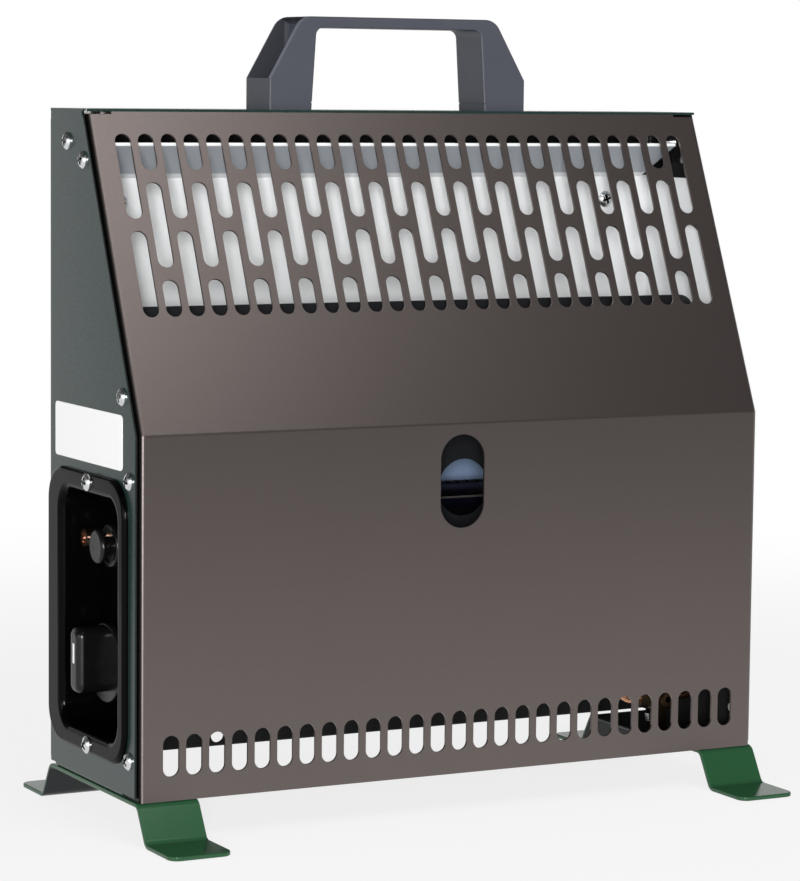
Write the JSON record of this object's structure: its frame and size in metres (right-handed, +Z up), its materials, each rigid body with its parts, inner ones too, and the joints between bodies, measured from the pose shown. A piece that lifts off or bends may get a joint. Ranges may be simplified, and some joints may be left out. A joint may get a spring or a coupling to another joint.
{
  "type": "camping gas heater",
  "caption": "Portable gas heater: a folded steel casing with a slotted sloping front, carrying handle, foot straps, and a side recess with a push button and a push-and-turn knob.",
  "frame": {"origin": "on the floor under the middle of the casing", "axes": "+Z up, the slotted front faces -Y, +X to the right of someone facing the front"},
  "size_m": [0.3413, 0.1824, 0.3759],
  "materials": {
    "front_paint": "satin",
    "side_paint": "satin",
    "strap_paint": "gloss",
    "handle_plastic": "satin",
    "black_plastic": "satin",
    "white_print": "matte",
    "zinc_steel": "bright",
    "spring_steel": "drawn",
    "pale_sheet": "satin",
    "black_sheet": "matte",
    "burner_steel": "satin",
    "cast_alloy": "cast",
    "brass": "turned",
    "copper": "drawn tube",
    "ceramic": "glazed",
    "lead_rubber": "matte"
  },
  "bodies": {
    "casing": {"back_panel": "side_paint", "back_screws": "zinc_steel", "box_front": "black_sheet", "burner_brackets": "zinc_steel", "burner_tray": "burner_steel", "burner_tube": "burner_steel", "button_spring": "spring_steel", "carry_handle": "handle_plastic", "control_recess": "black_plastic", "deflector_screws": "zinc_steel", "deflector_standoffs": "zinc_steel", "foot_screws": "zinc_steel", "front_panel": "front_paint", "gas_inlet": "brass", "gas_jet": "brass", "gas_pipe": "copper", "handle_screws": "zinc_steel", "heat_deflector": "pale_sheet", "heat_step": "black_sheet", "ignition_lead": "lead_rubber", "injector_holder": "brass", "inlet_nut": "brass", "left_box_wall": "pale_sheet", "left_foot_strap": "strap_paint", "left_side_panel": "side_paint", "left_side_screws": "zinc_steel", "left_top_bracket": "zinc_steel", "nipple_plug": "brass", "piezo_barrel": "black_plastic", "piezo_nut": "black_plastic", "pipe_nuts": "brass", "pipe_union": "brass", "rating_label": "white_print", "recess_screws": "zinc_steel", "right_box_wall": "pale_sheet", "right_foot_strap": "strap_paint", "right_side_panel": "side_paint", "right_side_screws": "zinc_steel", "right_top_bracket": "zinc_steel", "riser_pipe": "copper", "sensor_lead": "lead_rubber", "spark_electrode": "ceramic", "test_nipple": "brass", "thermocouple": "zinc_steel", "top_plate": "side_paint", "valve_body": "cast_alloy", "valve_spring": "spring_steel"},
    "thrust_sleeve": {"valve_plunger": "brass"},
    "knob": {"control_knob": "black_plastic", "knob_pointer": "white_print", "valve_spindle": "zinc_steel"},
    "button": {"piezo_button": "black_plastic"}
  },
  "joints": [
    {"name": "button_push", "type": "slide", "parent": "casing", "child": "button", "axis": [1, 0, 0], "range_m": [0, 0.0038], "stiffness_N_per_m": 1500, "deforming": ["button_spring"]},
    {"name": "knob_push", "type": "slide", "parent": "casing", "child": "thrust_sleeve", "axis": [1, 0, 0], "range_m": [0, 0.003], "stiffness_N_per_m": 2500, "deforming": ["valve_spring"]},
    {"name": "knob_turn", "type": "hinge", "parent": "thrust_sleeve", "child": "knob", "pos_m": [-0.155, 0.0073, 0.0734], "axis": [-1, 0, 0], "range_deg": [0, 180]}
  ]
}
